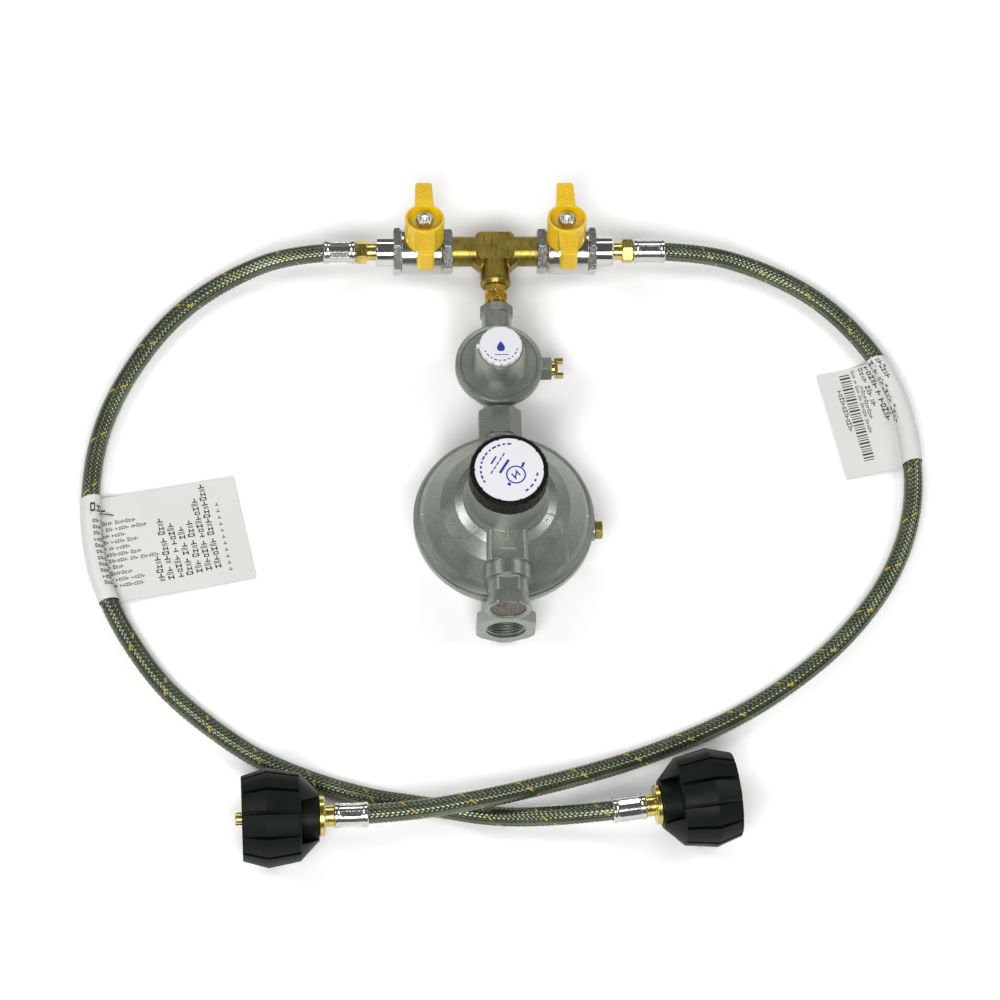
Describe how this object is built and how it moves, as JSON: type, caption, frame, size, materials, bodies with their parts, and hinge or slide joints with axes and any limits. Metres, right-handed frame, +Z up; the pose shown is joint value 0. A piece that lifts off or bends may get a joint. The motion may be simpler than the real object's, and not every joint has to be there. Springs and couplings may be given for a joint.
{
  "type": "gas bottle changeover set",
  "caption": "Manual changeover set for two gas bottles: braided pigtails with hand-nut connectors, two quarter-turn ball valves, a brass tee and a two-stage low-pressure regulator",
  "frame": {"origin": "middle of the manifold's box, on the surface it lies on", "axes": "+Z up through the regulators' bonnets, +Y from the gas outlet towards the ball valves, +X to the right seen from the outlet"},
  "size_m": [0.5436, 0.4581, 0.106],
  "materials": {
    "olive_brass": "forged brass, dull, with bright turned edges",
    "bright_brass": "turned, bright",
    "nickel": "nickel plate over a cast surface",
    "chrome": "mirror plate",
    "steel": "zinc plated",
    "yellow_handle": "yellow enamel on a die casting",
    "ferrule_steel": "bright crimped ferrule",
    "braid": "silver-grey wire braid over a rubber hose",
    "black_nut": "satin black moulding",
    "tag_white": "coated film",
    "ptfe": "PTFE",
    "seal_rubber": "nitrile rubber",
    "zinc": "die-cast zinc, sprayed satin grey",
    "inner_zinc": "die casting, bare",
    "white_cap": "white moulding with blue print",
    "black_cap": "satin black moulding",
    "spring_steel": "spring wire",
    "lever_steel": "pressed steel",
    "holder_plastic": "acetal with a rubber face"
  },
  "bodies": {
    "manifold": {"adjusting_disc": "inner_zinc", "ball_seats": "ptfe", "first_body": "zinc", "first_bonnet": "zinc", "first_bottom_plug": "inner_zinc", "first_cap": "white_cap", "first_diaphragm": "seal_rubber", "first_nozzle": "bright_brass", "first_spring": "spring_steel", "first_test_plug": "bright_brass", "interstage_union": "zinc", "left_connector_nipple": "bright_brass", "left_hose": "braid", "left_hose_adaptor": "bright_brass", "left_inlet_sleeve": "chrome", "left_lower_ferrule": "ferrule_steel", "left_tag": "tag_white", "left_upper_ferrule": "ferrule_steel", "left_valve_body": "nickel", "left_valve_end_cap": "nickel", "lever_pin": "spring_steel", "main_spring": "spring_steel", "orifice": "bright_brass", "right_connector_nipple": "bright_brass", "right_hose": "braid", "right_hose_adaptor": "bright_brass", "right_inlet_sleeve": "chrome", "right_lower_ferrule": "ferrule_steel", "right_tag": "tag_white", "right_upper_ferrule": "ferrule_steel", "right_valve_body": "nickel", "right_valve_end_cap": "nickel", "second_body": "zinc", "second_bonnet": "zinc", "second_cap": "black_cap", "second_diaphragm": "seal_rubber", "second_label": "white_cap", "second_test_plug": "bright_brass", "stem_seals": "seal_rubber", "tee_body": "olive_brass", "tee_nipple": "bright_brass", "vent_screen": "spring_steel"},
    "left_handle_set": {"left_handle": "yellow_handle", "left_handle_nut": "steel", "left_stem": "steel", "left_ball": "chrome"},
    "right_handle_set": {"right_handle": "yellow_handle", "right_handle_nut": "steel", "right_stem": "steel", "right_ball": "chrome"},
    "left_nut_set": {"left_hand_nut": "black_nut"},
    "right_nut_set": {"right_hand_nut": "black_nut"},
    "first_diaphragm_set": {"first_plate": "inner_zinc", "first_poppet": "inner_zinc"},
    "second_diaphragm_set": {"second_plate": "inner_zinc", "relief_spring": "spring_steel"},
    "lever_set": {"lever": "lever_steel"},
    "seat_set": {"seat_holder": "holder_plastic"}
  },
  "joints": [
    {"name": "left_handle_turn", "type": "hinge", "parent": "manifold", "child": "left_handle_set", "pos_m": [-0.0453, 0.1129, 0.022], "axis": [0, 0.2588, 0.9659], "range_deg": [0, 90]},
    {"name": "right_handle_turn", "type": "hinge", "parent": "manifold", "child": "right_handle_set", "pos_m": [0.0453, 0.1129, 0.022], "axis": [0, 0.2588, 0.9659], "range_deg": [-90, 0]},
    {"name": "left_nut_spin", "type": "hinge", "parent": "manifold", "child": "left_nut_set", "pos_m": [-0.162, -0.2769, 0.03], "axis": [0.9997, 0.0262, 0], "continuous": true},
    {"name": "right_nut_spin", "type": "hinge", "parent": "manifold", "child": "right_nut_set", "pos_m": [0.135, -0.2641, 0.03], "axis": [-0.9914, -0.1305, 0], "continuous": true},
    {"name": "first_diaphragm_lift", "type": "slide", "parent": "manifold", "child": "first_diaphragm_set", "axis": [0, 0, 1], "range_m": [0, 0.0008], "stiffness_N_per_m": 400, "deforming": ["first_spring", "first_diaphragm"]},
    {"name": "second_diaphragm_lift", "type": "slide", "parent": "manifold", "child": "second_diaphragm_set", "axis": [0, 0, 1], "range_m": [0, 0.003], "stiffness_N_per_m": 300, "deforming": ["main_spring", "second_diaphragm"]},
    {"name": "lever_turn", "type": "hinge", "parent": "manifold", "child": "lever_set", "pos_m": [0, -0.0687, 0.014], "axis": [1, 0, 0], "range_deg": [-12.5, 0]},
    {"name": "seat_slide", "type": "slide", "parent": "manifold", "child": "seat_set", "axis": [0, 1, 0], "range_m": [0, 0.00175]}
  ],
  "couplings": [
    {"joint": "lever_turn", "follows": "second_diaphragm_lift", "rad_per_m": -71.43},
    {"joint": "seat_slide", "follows": "second_diaphragm_lift", "ratio": 0.5714}
  ]
}
